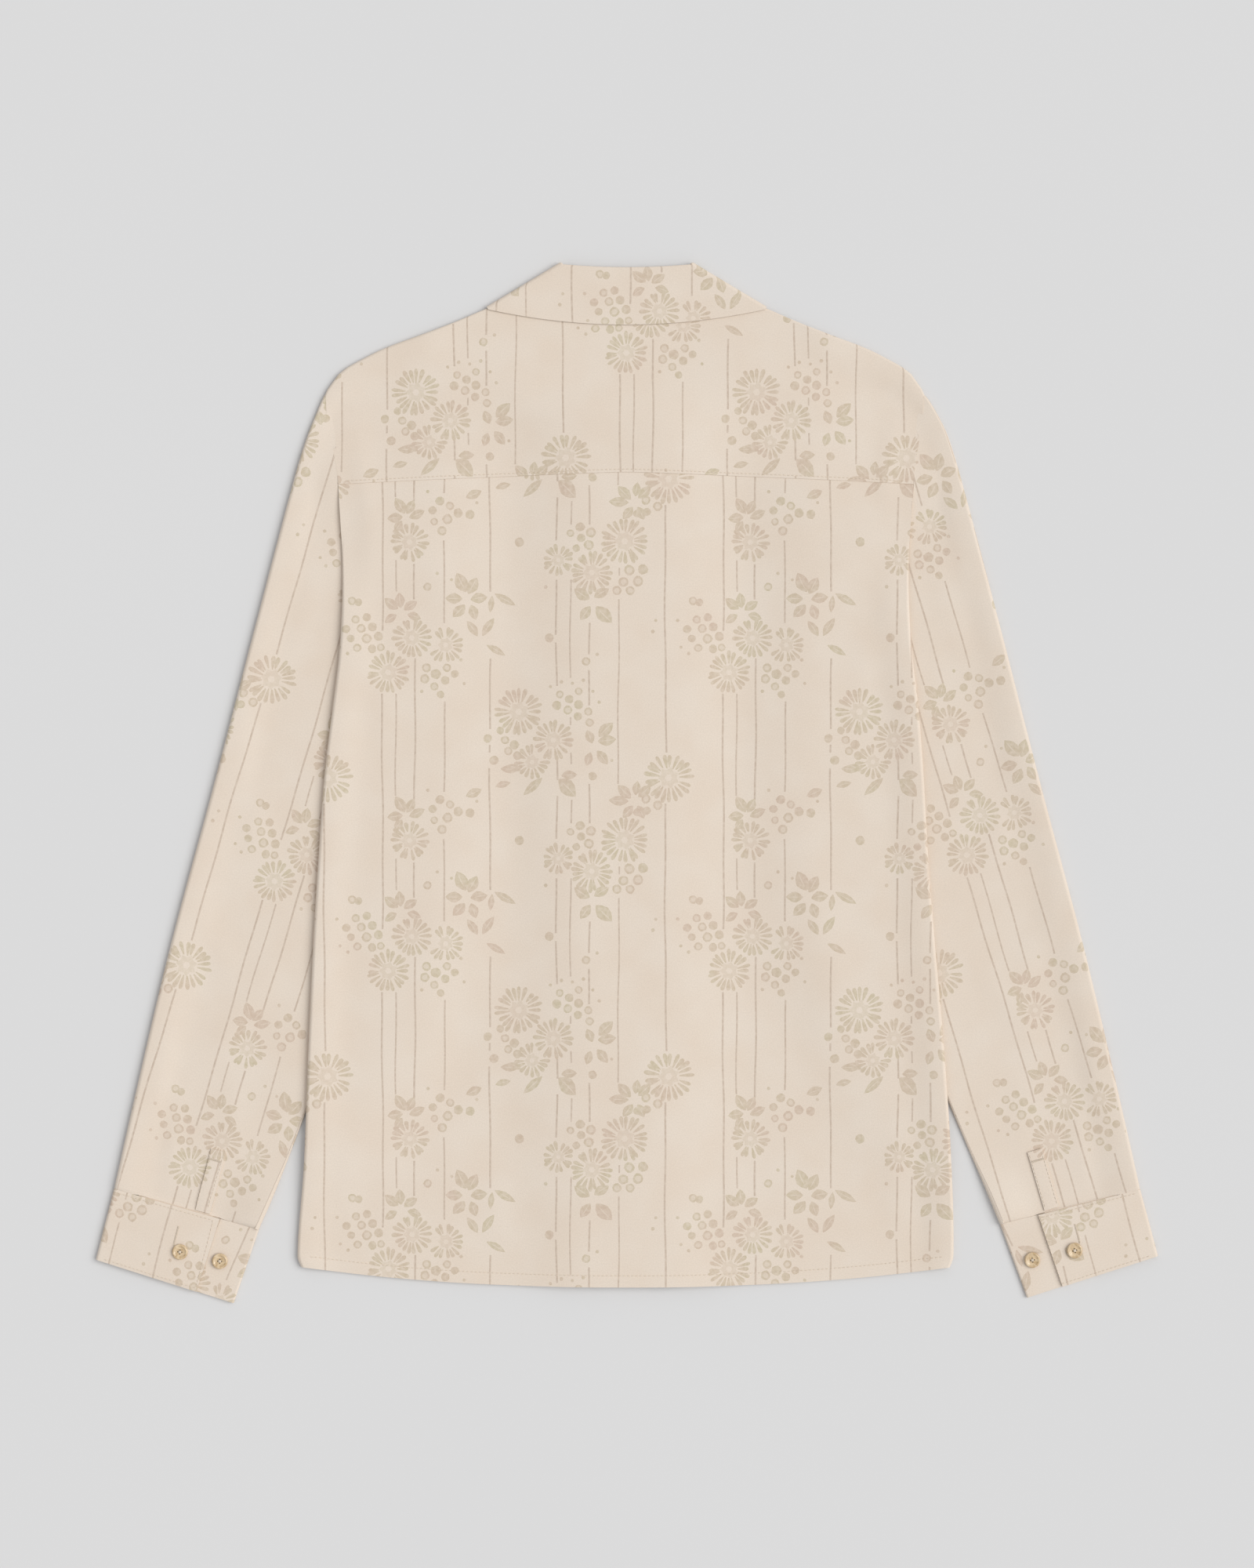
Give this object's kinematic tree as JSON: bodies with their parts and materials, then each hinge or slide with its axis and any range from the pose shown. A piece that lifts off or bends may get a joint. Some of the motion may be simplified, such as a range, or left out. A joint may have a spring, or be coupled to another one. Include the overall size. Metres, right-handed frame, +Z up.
{
  "type": "long-sleeved shirt",
  "caption": "Long-sleeved camp-collar shirt in ecru jacquard with a tan floral stripe, laid flat with its back up.",
  "frame": {"origin": "centre of the footprint, on the surface that the shirt rests on", "axes": "+X to the viewer's right and the wearer's right sleeve, +Y from the hem to the collar, +Z up out of the back of the shirt"},
  "size_m": [0.7787, 0.7624, 0.0082],
  "materials": {
    "jacquard_cloth": "soft matte",
    "button_horn": "satin"
  },
  "bodies": {
    "root": {"back": "jacquard_cloth", "yoke": "jacquard_cloth", "front_left": "jacquard_cloth", "front_right": "jacquard_cloth", "lapel_left": "jacquard_cloth", "lapel_right": "jacquard_cloth", "collar": "jacquard_cloth", "sleeve_left": "jacquard_cloth", "sleeve_right": "jacquard_cloth", "sleeve_placket_left": "jacquard_cloth", "sleeve_placket_right": "jacquard_cloth", "cuff_left": "jacquard_cloth", "cuff_right": "jacquard_cloth", "cuff_button_left_1": "button_horn", "cuff_button_left_2": "button_horn", "cuff_button_right_1": "button_horn", "cuff_button_right_2": "button_horn", "front_button_1": "button_horn", "front_button_2": "button_horn", "front_button_3": "button_horn", "front_button_4": "button_horn", "front_button_5": "button_horn", "front_button_6": "button_horn"}
  },
  "joints": []
}
